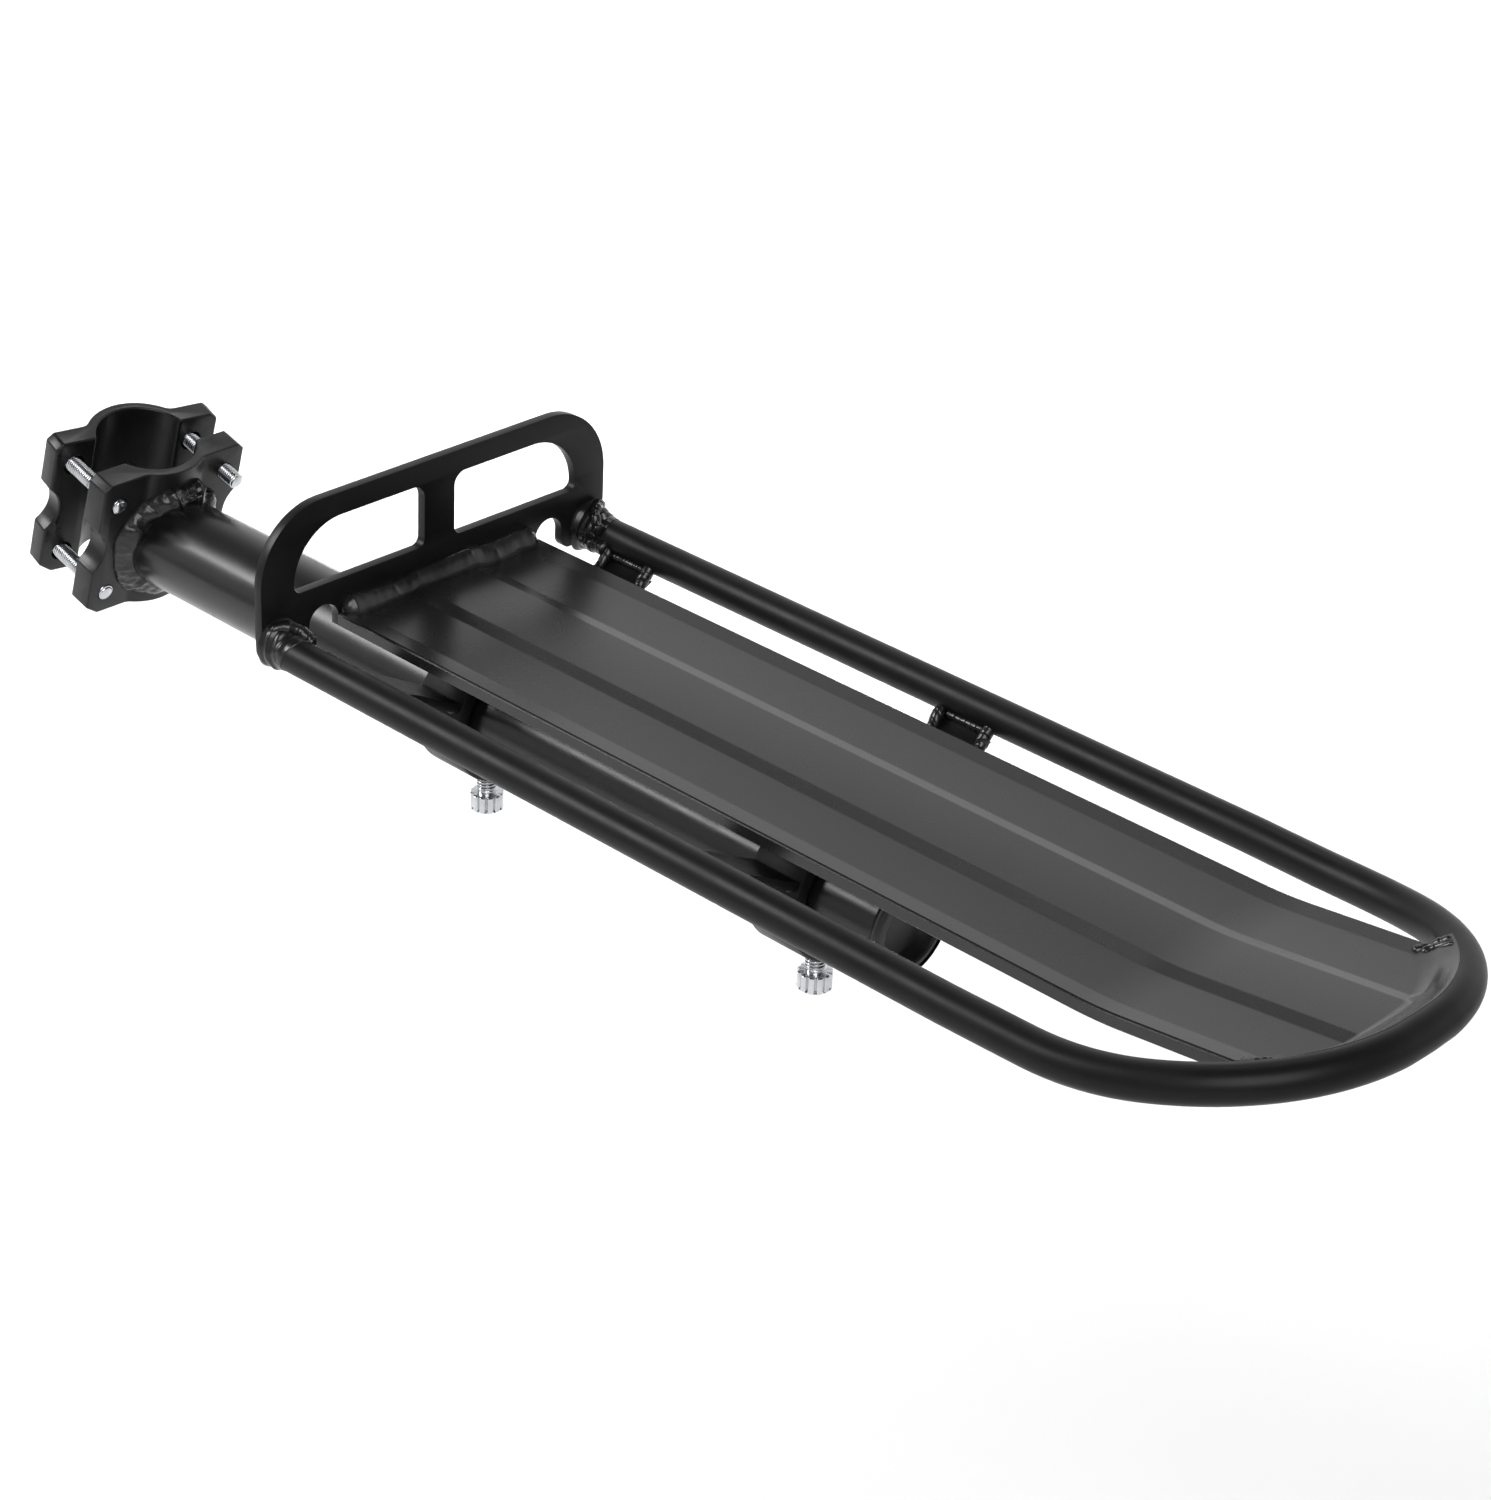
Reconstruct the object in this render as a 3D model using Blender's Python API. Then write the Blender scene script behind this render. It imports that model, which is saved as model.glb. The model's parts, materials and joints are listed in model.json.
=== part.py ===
"""Seatpost-mounted rear rack: a two-piece seatpost clamp, a round beam, and a platform that slides on it.

Frame: the origin is on the seatpost axis, just below the beam's axis. +X runs rearwards along the
beam, +Y to the bicycle's right, +Z up. Lengths below are in millimetres and are scaled by MM.
"""

import math

import bpy
import bmesh
from mathutils import Vector
from mathutils.geometry import tessellate_polygon

MM = 0.001
GAP = 0.3                        # between pieces that touch or are welded

# Seatpost clamp. u is sideways, v runs up the seatpost, w is square to both, rearwards positive.
POST_TILT = 16.0                 # degrees, top of the seatpost leaning rearwards
BORE_R = 15.1
REAR_HALF_WIDTH, JAW_HALF_WIDTH = 26.2, 27.8
CLAMP_V = (-15.5, 34.0)          # bottom and top of the clamp along the seatpost
CLAMP_WRAP_R = 18.2              # outside of the wall that wraps round the post
CLAMP_FILLET = 4.0
REAR_HALF_W = (7.0, 14.9)        # inner and outer face of the lobes
FRONT_JAW_W = (4.6, 11.4)
JAW_SKEW = 8.0                   # degrees: the jaw is drawn up more on the right
BOTTOM_CHAMFER, TOP_CHAMFER = (4.4, 3.3), (2.2, 2.0)
NOTCH_R, NOTCH_DEPTH = 9.7, 3.8
BOLT_U, BOLT_V = 19.9, (-7.9, 25.2)

# Clamp bolts, M5, with their heads sunk in the jaw
CLAMP_BOLT_R, CLAMP_BOLT_LENGTH = 2.5, 27.0
CLAMP_HEAD_R, CLAMP_HEAD_H, CLAMP_SOCKET_R = 4.25, 5.0, 2.3
HEAD_SEAT_W = {"left": -11.3, "right": -5.8}
POCKET_R = 5.0

# Beam: a round tube
BEAM_R, BEAM_WALL, BEAM_AXIS_Z = 14.7, 1.8, 2.4
BEAM_END = 319.4
CAP_FLANGE, CAP_STEM, CAP_DISH = 2.2, 14.0, 6.0
BEAM_BEAD_R, BEAM_BEAD_SHIFT = 2.5, 0.5

# Platform
BRACKET_X = 141.5                # rear face of the front bracket
BRACKET_T = 2.8
BRACKET_TOP, BRACKET_HALF, BRACKET_CORNER = 71.8, 63.6, 21.5
WINDOW_Y, WINDOW_Z, WINDOW_CORNER = (5.5, 52.3), (46.2, 65.1), 17.0
WINDOW_SMALL_CORNERS = (2.6, 4.0)
NOTCH_Y, NOTCH_TOP = 42.0, 40.0
RAIL_R, RAIL_Y, RAIL_Z = 5.0, 58.3, 33.0
LUG_R, LUG_BEAD_R = 6.2, 1.0
RAIL_KINK_X, RAIL_KINK_ANGLE, RAIL_KINK_HALF = 417.6, 10.9, 15.9
HOOP_START, HOOP_REACH, HOOP_HALF, HOOP_POWER = -16.8, 69.7, 57.8, 2.2
DECK_HALF, DECK_T, FLANGE_Z = 37.2, 1.8, 32.0
DECK_LAND_Z, DECK_CENTRE_RISE, DECK_EDGE_RISE = 35.2, 0.9, 0.65
DECK_CENTRE = (9.9, 14.1)        # the raised centre's top and foot, from the middle
DECK_EDGE = (31.2, 36.7)
DECK_KINK_X, DECK_KINK_ANGLE = 407.0, 6.6
DECK_TO_HOOP = 3.0
DECK_DRESSED, DECK_DRESS = 4.6, 0.15    # the front end is dressed down a little under its weld
FRONT_BEAD_R, FRONT_BEAD_REACH = 1.9, 35.0
REAR_BEAD_R, REAR_BEAD_REACH = 1.7, 33.0

# Sleeves that run on the beam, and the ears that hang them from the rails
SLEEVE_X = (162.1, 289.6)
SLEEVE_LENGTH, SLEEVE_WALL, SLEEVE_CLEAR = 17.0, 4.7, 0.35
EAR_T = 2.6
LOCK_BOLT_R, LOCK_HEAD_R, LOCK_HEAD_H, LOCK_SOCKET_R = 3.0, 4.8, 5.3, 2.9
LOCK_HEAD_Z = -25.1              # top of the head

BEAM_BOTTOM = BEAM_AXIS_Z - BEAM_R
TILT = math.radians(POST_TILT)
POST_AXIS = Vector((math.sin(TILT), 0, math.cos(TILT)))
REARWARD = Vector((math.cos(TILT), 0, -math.sin(TILT)))
SIDEWAYS = Vector((0, 1, 0))


# ---------------------------------------------------------------- scene and helpers

for old in list(bpy.data.objects):
    bpy.data.objects.remove(old)


def material(name, colour, roughness, metallic):
    made = bpy.data.materials.new(name)
    made.use_nodes = True
    shader = made.node_tree.nodes["Principled BSDF"]
    shader.inputs["Base Color"].default_value = (*colour, 1)
    shader.inputs["Roughness"].default_value = roughness
    shader.inputs["Metallic"].default_value = metallic
    return made


BLACK = (0.022, 0.022, 0.024)
FORGING = (0.018, 0.018, 0.020)
BEAD = (0.016, 0.016, 0.017)
STEEL = (0.62, 0.62, 0.64)


def clamp_point(u, v, w):
    """A point of the clamp's own axes in the row frame."""
    return SIDEWAYS * u + POST_AXIS * v + REARWARD * w


def add_object(name, points, faces, finish, origin=(0, 0, 0), parent=None):
    """One object from points in millimetres, with its origin where asked."""
    start = Vector(origin)
    mesh = bpy.data.meshes.new(name)
    mesh.from_pydata([(Vector(p) - start) * MM for p in points], [], faces)
    shape = bmesh.new()
    shape.from_mesh(mesh)
    bmesh.ops.recalc_face_normals(shape, faces=shape.faces)
    if shape.calc_volume(signed=True) < 0:
        bmesh.ops.reverse_faces(shape, faces=shape.faces)
    shape.to_mesh(mesh)
    shape.free()
    made = bpy.data.objects.new(name, mesh)
    bpy.context.scene.collection.objects.link(made)
    made.location = start * MM
    if finish:
        mesh.materials.append(material(name, *finish))
    if parent:
        made.parent = parent
        made.matrix_parent_inverse.translation = -parent.location
    return made


def empty(name, origin):
    made = bpy.data.objects.new(name, None)
    made.location = Vector(origin) * MM
    made.empty_display_size = 0.02
    bpy.context.scene.collection.objects.link(made)
    return made


def prism(loops, at, low, high):
    """Points and faces of a flat shape with holes, given height. loops[0] is the outside; at(a, b, h)
    places a point."""
    points, faces, starts = [], [], []
    for loop in loops:
        starts.append(len(points))
        points += [at(a, b, low) for a, b in loop] + [at(a, b, high) for a, b in loop]
    flat = [[Vector((a, b, 0)) for a, b in loop] for loop in loops]
    counted = [(i, k) for i, loop in enumerate(loops) for k in range(len(loop))]
    for triangle in tessellate_polygon(flat):
        chosen = [counted[k] for k in triangle]
        faces.append([starts[i] + k for i, k in chosen])
        faces.append([starts[i] + len(loops[i]) + k for i, k in reversed(chosen)])
    for i, loop in enumerate(loops):
        n = len(loop)
        for k in range(n):
            j = (k + 1) % n
            faces.append([starts[i] + k, starts[i] + j, starts[i] + n + j, starts[i] + n + k])
    return points, faces


def loft(rings, closed=False):
    """Points and faces that join rings of equal length, with flat ends unless the row of rings closes."""
    n, count = len(rings[0]), len(rings)
    points = [p for ring in rings for p in ring]
    faces = []
    for r in range(count if closed else count - 1):
        s = (r + 1) % count
        for k in range(n):
            j = (k + 1) % n
            faces.append([r * n + k, r * n + j, s * n + j, s * n + k])
    if not closed:
        faces.append(list(range(n)))
        faces.append(list(range((count - 1) * n, count * n)))
    return points, faces


def arc(centre, radius, first, last, steps):
    """Points on a circle in the plane, angles in degrees."""
    turns = [math.radians(first + (last - first) * k / steps) for k in range(steps + 1)]
    return [(centre[0] + radius * math.cos(t), centre[1] + radius * math.sin(t)) for t in turns]


def circle(centre, radius, steps):
    return arc(centre, radius, 0, 360, steps)[:-1]


def mirrored(half):
    """A half outline with a >= 0, completed by its mirror image."""
    return half + [(-a, b) for a, b in reversed(half) if abs(a) > 1e-9]


def cutter(name, points, faces):
    made = add_object(name, points, faces, None)
    made.hide_render = True
    made.display_type = "WIRE"
    return made


def boolean(target, tool, operation):
    change = target.modifiers.new(tool.name, "BOOLEAN")
    change.operation = operation
    change.solver = "EXACT"
    change.object = tool


def rod(centre, along, across, radius, steps):
    """A ring of points round an axis."""
    other = along.cross(across)
    return [centre + across * a + other * b for a, b in circle((0, 0), radius, steps)]


def sweep(line, radii, steps, ups):
    """A tube of round section along points, closed with flat ends."""
    rings = []
    for k, here in enumerate(line):
        ahead = line[min(k + 1, len(line) - 1)] - line[max(k - 1, 0)]
        ahead.normalize()
        across = (ups[k] - ahead * ups[k].dot(ahead)).normalized()
        rings.append(rod(here, ahead, across, radii[k], steps))
    return loft(rings)


# ---------------------------------------------------------------- seatpost clamp

def clamp_section(half_width, inner, outer):
    """The clamp half seen along the seatpost: lobes, fillets, wrapping wall and bore."""
    rise = outer + CLAMP_FILLET
    reach = CLAMP_WRAP_R + CLAMP_FILLET
    fillet_u = math.sqrt(reach**2 - rise**2)
    lean = math.degrees(math.atan2(rise, fillet_u))
    half = [(half_width, inner), (half_width, outer)]
    half += arc((fillet_u, rise), CLAMP_FILLET, 270, 180 + lean, 6)
    wrap = arc((0, 0), CLAMP_WRAP_R, lean, 180 - lean, 16)[1:-1]
    left = [(-a, b) for a, b in reversed(half)]
    edge = math.degrees(math.asin(inner / BORE_R))
    return half + wrap + left + arc((0, 0), BORE_R, 180 - edge, edge, 24)


def clamp_outline(half_width):
    """The clamp half seen from behind: chamfered corners and a round notch in each side."""
    bottom, top = CLAMP_V
    middle = (bottom + top) / 2
    centre = half_width - NOTCH_DEPTH + NOTCH_R
    swing = math.degrees(math.acos((centre - half_width) / NOTCH_R))
    cut_u, cut_v = BOTTOM_CHAMFER
    half = [(half_width - cut_u, bottom), (half_width, bottom + cut_v)]
    half += arc((centre, middle), NOTCH_R, 180 + swing, 180 - swing, 12)
    cut_u, cut_v = TOP_CHAMFER
    half += [(half_width, top - cut_v), (half_width - cut_u, top)]
    return mirrored(half)


def clamp_half(name, half_width, lobes, hole_r, skew=0.0, facing=1):
    """One half of the clamp. The jaw faces the other way, and its holes open into pockets for the heads."""
    turn = math.radians(skew)

    def at(u, w, v):
        w *= facing
        return clamp_point(
            u * math.cos(turn) - w * math.sin(turn), v, w * math.cos(turn) + u * math.sin(turn)
        )

    bottom, top = CLAMP_V
    section = clamp_section(half_width, *lobes)
    made = add_object(name, *prism([section], at, bottom - 1, top + 1), FINISH[name])
    outline = prism([clamp_outline(half_width)], lambda u, v, w: at(u, w, v), 1.0, 30.0)
    boolean(made, cutter(name + "_outline", *outline), "INTERSECT")
    for side, side_name in ((-1, "left"), (1, "right")):
        stations = [(-30, hole_r), (30, hole_r)]
        if facing < 0:
            floor = HEAD_SEAT_W[side_name] + GAP
            stations = [(-30, POCKET_R), (floor, POCKET_R), (floor, hole_r), (30, hole_r)]
        for level, v in zip(("lower", "upper"), BOLT_V):
            rings = [
                rod(clamp_point(side * BOLT_U, v, w), REARWARD, SIDEWAYS, radius, 20)
                for w, radius in stations
            ]
            boolean(made, cutter(f"{name}_{level}_{side_name}_hole", *loft(rings)), "DIFFERENCE")
    return made


def socket_bolt(name, seat, along, across, shank_r, length, head_r, head_h, socket_r, parent):
    """A socket head bolt. seat is the point under the head; the shank runs along, the head the other way."""
    chamfer, depth = 0.5, head_h * 0.55
    stations = [
        (-depth - 1e-6, None),
        (-head_h + depth, socket_r),
        (-head_h, socket_r),
        (-head_h, head_r - chamfer),
        (-head_h + chamfer, head_r),
        (0.0, head_r),
        (0.0, shank_r),
        (length - chamfer, shank_r),
        (length, shank_r - chamfer),
    ]
    steps = 24
    rings = []
    for place, radius in stations[1:]:
        ring = rod(seat + along * place, along, across, radius, steps)
        if radius == socket_r:
            # Six flats, with a ring of as many points as the round parts have
            ring = []
            for k in range(steps):
                turn = 2 * math.pi * k / steps
                flat = (turn + math.pi / 6) % (math.pi / 3) - math.pi / 6
                reach = socket_r * math.cos(math.pi / 6) / math.cos(flat)
                other = along.cross(across)
                ring.append(
                    seat + along * place + (across * math.cos(turn) + other * math.sin(turn)) * reach
                )
        rings.append(ring)
    return add_object(name, *loft(rings), FINISH[name], origin=seat, parent=parent)


# ---------------------------------------------------------------- beam

def beam_circle(grow, steps=48):
    """The beam's outline, made larger or smaller by grow."""
    return circle((0, BEAM_AXIS_Z), BEAM_R + grow, steps)


def beam_start(y, z, clear):
    """Where a line along the beam meets the rear clamp half, stopping clear of it."""
    wrap = math.sqrt(max((CLAMP_WRAP_R + clear) ** 2 - y * y, 0))
    w = max(wrap, REAR_HALF_W[1] + clear)
    return (w + z * math.sin(TILT)) / math.cos(TILT)


def beam_tube():
    outside, inside = beam_circle(0), beam_circle(-BEAM_WALL)
    rings = [
        [Vector((beam_start(y, z, GAP), y, z)) for y, z in outside],
        [Vector((BEAM_END, y, z)) for y, z in outside],
        [Vector((BEAM_END, y, z)) for y, z in inside],
        [Vector((beam_start(y, z, GAP), y, z)) for y, z in inside],
    ]
    return loft(rings, closed=True)


def end_cap():
    fit = -BEAM_WALL - GAP
    stations = [
        (BEAM_END - CAP_STEM, fit - 0.8),
        (BEAM_END - CAP_STEM + 1.5, fit),
        (BEAM_END + GAP, fit),
        (BEAM_END + GAP, 0.0),
        (BEAM_END + GAP + CAP_FLANGE - 1.0, 0.0),
        (BEAM_END + GAP + CAP_FLANGE, -1.0),
        (BEAM_END + GAP + CAP_FLANGE, -3.6),
        (BEAM_END + GAP + CAP_FLANGE - 1.0, -4.4),
        (BEAM_END + GAP + CAP_FLANGE - CAP_DISH, -5.0),
    ]
    return loft([[Vector((x, y, z)) for y, z in beam_circle(grow, 40)] for x, grow in stations])


def beam_bead():
    """The weld that joins the beam to the rear clamp half."""
    rings = []
    steps = 40
    reach = BEAM_BEAD_R + GAP
    for k in range(steps):
        turn = 2 * math.pi * k / steps
        normal = Vector((0, math.cos(turn), math.sin(turn)))
        here = Vector((0, 0, BEAM_AXIS_Z)) + normal * (BEAM_R + reach)
        here.x = beam_start(here.y, here.z, reach) + BEAM_BEAD_SHIFT
        ring = [
            here + Vector((a, 0, 0)) + normal * b for a, b in circle((0, 0), BEAM_BEAD_R, 10)
        ]
        rings.append(ring)
    return loft(rings, closed=True)


# ---------------------------------------------------------------- platform

def bracket_loops():
    """The front bracket from behind: rounded top corners, rail lugs, notches and two windows."""
    corner = (BRACKET_HALF - BRACKET_CORNER, BRACKET_TOP - BRACKET_CORNER)
    lug = (RAIL_Y - 1.0, RAIL_Z)
    half = [(0.0, FLANGE_Z), (NOTCH_Y - 5.2, FLANGE_Z), (NOTCH_Y - 5.2, NOTCH_TOP - 5.2)]
    half += arc((NOTCH_Y, NOTCH_TOP - 5.2), 5.2, 180, 0, 10)[1:]
    half += [(NOTCH_Y + 5.2, NOTCH_TOP - 9.0)]
    half += arc(lug, LUG_R, 200, 350, 10)
    half += [(BRACKET_HALF, RAIL_Z + 3.0)]
    half += arc(corner, BRACKET_CORNER, 0, 90, 14)
    outside = half + [(-a, b) for a, b in reversed(half) if a > 0]
    inner, outer = WINDOW_Y
    low, high = WINDOW_Z
    small, top_small = WINDOW_SMALL_CORNERS
    window = arc((inner + small, low + small), small, 180, 270, 4)
    window += arc((outer - small, low + small), small, 270, 360, 4)
    window += arc((outer - WINDOW_CORNER, high - WINDOW_CORNER), WINDOW_CORNER, 0, 90, 10)
    window += arc((inner + top_small, high - top_small), top_small, 90, 180, 5)
    return [outside, window, [(-a, b) for a, b in reversed(window)]]


def rail_height(x):
    """The rails' rise at x: level, then turning up over the kink, then straight."""
    slope = math.tan(math.radians(RAIL_KINK_ANGLE))
    along = x - RAIL_KINK_X
    if along <= -RAIL_KINK_HALF:
        return 0.0
    if along < RAIL_KINK_HALF:
        return slope * (along + RAIL_KINK_HALF) ** 2 / (4 * RAIL_KINK_HALF)
    return slope * along


def hoop_line():
    """Centre line of the hoop, from the left rail's front end round to the right rail's."""
    rearward = math.cos(math.radians(RAIL_KINK_ANGLE))
    plan = [(x, RAIL_Y) for x in (BRACKET_X + GAP, 220.0, 300.0, 380.0)]
    plan += [(RAIL_KINK_X - RAIL_KINK_HALF, HOOP_HALF)]
    steps = 24
    for k in range(steps + 1):
        turn = math.pi / 2 * k / steps
        along = HOOP_START + HOOP_REACH * math.sin(turn) ** (2 / HOOP_POWER)
        y = HOOP_HALF * math.cos(turn) ** (2 / HOOP_POWER)
        x = RAIL_KINK_X + (along * rearward if along > 0 else along)
        if x > plan[-1][0] + 0.5:
            plan.append((x, y))
    plan[-1] = (plan[-1][0], 0.0)
    left = [Vector((x, -y, RAIL_Z + rail_height(x))) for x, y in plan]
    return left + [Vector((p.x, -p.y, p.z)) for p in reversed(left[:-1])]


def hoop_inside(y, clear):
    """x of the hoop's inner side at y, less clear."""
    line = [p for p in HOOP if p.y <= 0.01]
    shifted = []
    for k, p in enumerate(line):
        ahead = line[min(k + 1, len(line) - 1)] - line[max(k - 1, 0)]
        if k == len(line) - 1:
            ahead = Vector((0, 1, 0))
        inward = Vector((-ahead.y, ahead.x, 0)).normalized()
        shifted.append(p + inward * (RAIL_R + clear))
    for a, b in zip(shifted, shifted[1:]):
        if a.y <= -abs(y) <= b.y:
            return a.x + (b.x - a.x) * (-abs(y) - a.y) / (b.y - a.y)
    return shifted[-1].x


def deck_rise(x):
    return max(x - DECK_KINK_X, 0.0) * math.tan(math.radians(DECK_KINK_ANGLE))


def deck_chains():
    """Upper and lower line of the deck's section, from the foot of one flange to that of the other."""
    foot, edge = DECK_EDGE
    top, base = DECK_CENTRE
    land = DECK_LAND_Z
    marks = [(edge, land + DECK_EDGE_RISE), (foot, land), (25.5, land), (19.8, land), (base, land)]
    marks += [(top, land + DECK_CENTRE_RISE), (5.0, land + DECK_CENTRE_RISE)]
    half = [(DECK_HALF, FLANGE_Z), (DECK_HALF, land + DECK_EDGE_RISE - 0.5)] + marks
    inner = DECK_HALF - DECK_T
    under = [(inner, FLANGE_Z), (inner, land - DECK_T - 0.6), (inner - 0.6, land - DECK_T)]
    under += [(a, b - DECK_T) for a, b in marks[1:]]
    middle = (0.0, land + DECK_CENTRE_RISE)
    upper = [(-a, b) for a, b in half] + [middle] + list(reversed(half))
    lower = [(-a, b) for a, b in under] + [(0.0, middle[1] - DECK_T)] + list(reversed(under))
    return upper, lower


def deck_plate():
    upper, lower = deck_chains()
    front = BRACKET_X + GAP
    rows = []
    for x in (front, front + DECK_DRESSED, 230.0, 320.0, DECK_KINK_X, None):
        row = []
        for chain, drop in ((upper, DECK_DRESS), (lower, 0.0)):
            for y, z in chain:
                here = hoop_inside(y, DECK_TO_HOOP) if x is None else x
                drop = drop if x == front else 0.0
                row.append(Vector((here, y, z + deck_rise(here) - drop)))
        rows.append(row)
    n = len(upper)
    faces = []
    for r in range(len(rows) - 1):
        a, b = r * 2 * n, (r + 1) * 2 * n
        for k in range(n - 1):
            faces.append([a + k, a + k + 1, b + k + 1, b + k])
            faces.append([a + n + k, b + n + k, b + n + k + 1, a + n + k + 1])
        faces.append([a, b, b + n, a + n])
        faces.append([a + n - 1, a + 2 * n - 1, b + 2 * n - 1, b + n - 1])
    for a in (0, (len(rows) - 1) * 2 * n):
        for k in range(n - 1):
            faces.append([a + k, a + k + 1, a + n + k + 1, a + n + k])
    return [p for row in rows for p in row], faces


def sleeve(centre):
    grow = SLEEVE_CLEAR + SLEEVE_WALL
    loops = [beam_circle(grow, 40), list(reversed(beam_circle(SLEEVE_CLEAR, 40)))]
    half = SLEEVE_LENGTH / 2
    return prism(loops, lambda y, z, x: Vector((x, y, z)), centre - half, centre + half)


def ear(centre, side):
    """A bent flat bar from under the rail down to the sleeve."""
    line = [(55.2, 28.5), (51.5, 26.8), (43.0, 24.3), (33.7, 20.7), (24.0, 15.4), (17.9, 12.3)]
    last = len(line) - 1
    upper = [(side * y, z) for y, z in line]
    lower = []
    for k, (y, z) in enumerate(line):
        ahead = (Vector(line[min(k + 1, last)]) - Vector(line[max(k - 1, 0)])).normalized()
        drop = Vector((-ahead.y, ahead.x))
        if k == 0:
            # Cut upright, to clear the rail
            drop = Vector((0, -1))
        if k == last:
            # Cut along the sleeve's side
            out = Vector((y, z - BEAM_AXIS_Z)).normalized()
            drop = Vector((out.y, -out.x))
        lower.append((side * (y + drop.x * EAR_T), z + drop.y * EAR_T))
    loop = upper + list(reversed(lower))
    half = SLEEVE_LENGTH / 2 - 0.5
    return prism([loop], lambda y, z, x: Vector((x, y, z)), centre - half, centre + half)


def deck_top(x, y):
    """Height of the deck's upper face, with the raised centre, the lands and the rising edges."""
    top, base = DECK_CENTRE
    foot, edge = DECK_EDGE
    centre = min(max((base - abs(y)) / (base - top), 0.0), 1.0) * DECK_CENTRE_RISE
    side = min(max((abs(y) - foot) / (edge - foot), 0.0), 1.0) * DECK_EDGE_RISE
    return DECK_LAND_Z + centre + side + deck_rise(x)


def deck_front_bead():
    """The fillet weld across the deck's front, against the bracket."""
    line, radii = [], []
    for k in range(25):
        y = FRONT_BEAD_REACH * (k / 12 - 1)
        radius = FRONT_BEAD_R if 0 < k < 24 else FRONT_BEAD_R * 0.6
        x = BRACKET_X + GAP + radius
        line.append(Vector((x, y, deck_top(x, y) + radius + GAP)))
        radii.append(radius)
    return sweep(line, radii, 8, [Vector((0, 0, 1))] * 25)


def deck_rear_bead():
    """The weld on the step between the deck's rear end and the hoop."""
    line, radii = [], []
    for k in range(25):
        y = REAR_BEAD_REACH * (k / 12 - 1)
        radius = REAR_BEAD_R if 0 < k < 24 else REAR_BEAD_R * 0.6
        z = deck_top(hoop_inside(y, 2.0), y) + radius + GAP
        above = z - RAIL_Z - rail_height(hoop_inside(y, -RAIL_R))
        clear = math.sqrt((RAIL_R + GAP + radius) ** 2 - above**2) - RAIL_R
        line.append(Vector((hoop_inside(y, clear), y, z)))
        radii.append(radius)
    return sweep(line, radii, 8, [Vector((0, 0, 1))] * 25)


def lug_bead(side):
    """The weld round the front end of a rail, on the bracket's lug."""
    rings = []
    radius = LUG_BEAD_R
    for k in range(20):
        turn = 2 * math.pi * k / 20
        out = Vector((0, math.cos(turn), math.sin(turn)))
        here = Vector((BRACKET_X + GAP + radius, side * RAIL_Y, RAIL_Z))
        here += out * (RAIL_R + GAP + radius)
        rings.append([here + Vector((a, 0, 0)) + out * b for a, b in circle((0, 0), radius, 6)])
    return loft(rings, closed=True)


# ---------------------------------------------------------------- assembly

FINISH = {
    "rear_clamp_half": (FORGING, 0.38, 0.0),
    "front_clamp_jaw": (FORGING, 0.38, 0.0),
    "beam_tube": (BLACK, 0.30, 0.0),
    "beam_end_cap": ((0.03, 0.03, 0.03), 0.55, 0.0),
    "beam_weld": (BEAD, 0.25, 0.0),
    "front_bracket": (BLACK, 0.40, 0.0),
    "rail_hoop": (BLACK, 0.33, 0.0),
    "deck_plate": ((0.045, 0.045, 0.047), 0.45, 0.6),
    "deck_front_weld": (BEAD, 0.25, 0.0),
    "deck_rear_weld": (BEAD, 0.25, 0.0),
}
for side_name in ("left", "right"):
    FINISH[f"lug_weld_{side_name}"] = (BEAD, 0.25, 0.0)
    for place in ("front", "rear"):
        FINISH[f"{place}_ear_{side_name}"] = (BLACK, 0.35, 0.0)
    for level in ("lower", "upper"):
        FINISH[f"clamp_bolt_{level}_{side_name}"] = (STEEL, 0.22, 1.0)
for place in ("front", "rear"):
    FINISH[f"{place}_sleeve"] = (BLACK, 0.35, 0.0)
    FINISH[f"{place}_lock_bolt"] = (STEEL, 0.22, 1.0)

clamp_half("rear_clamp_half", REAR_HALF_WIDTH, REAR_HALF_W, CLAMP_BOLT_R + GAP)
jaw = clamp_half(
    "front_clamp_jaw", JAW_HALF_WIDTH, FRONT_JAW_W, CLAMP_BOLT_R + 0.9, JAW_SKEW, -1
)
for side, side_name in ((-1, "left"), (1, "right")):
    for level, v in zip(("lower", "upper"), BOLT_V):
        under_head = clamp_point(side * BOLT_U, v, HEAD_SEAT_W[side_name])
        socket_bolt(
            f"clamp_bolt_{level}_{side_name}", under_head, REARWARD, SIDEWAYS, CLAMP_BOLT_R,
            CLAMP_BOLT_LENGTH, CLAMP_HEAD_R, CLAMP_HEAD_H, CLAMP_SOCKET_R, jaw,
        )

add_object("beam_tube", *beam_tube(), FINISH["beam_tube"])
add_object("beam_end_cap", *end_cap(), FINISH["beam_end_cap"])
add_object("beam_weld", *beam_bead(), FINISH["beam_weld"])

platform = empty("platform_on_beam", (BRACKET_X, 0, 0))
HOOP = hoop_line()
bracket = prism(
    bracket_loops(), lambda y, z, x: Vector((x, y, z)), BRACKET_X - BRACKET_T, BRACKET_X
)
hoop_ups = [Vector((0, 0, 1))] * len(HOOP)
fixed_parts = {
    "front_bracket": bracket,
    "rail_hoop": sweep(HOOP, [RAIL_R] * len(HOOP), 16, hoop_ups),
    "deck_plate": deck_plate(),
    "deck_front_weld": deck_front_bead(),
    "deck_rear_weld": deck_rear_bead(),
    "lug_weld_left": lug_bead(-1),
    "lug_weld_right": lug_bead(1),
}
for name, shape in fixed_parts.items():
    add_object(name, *shape, FINISH[name], parent=platform)

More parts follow.
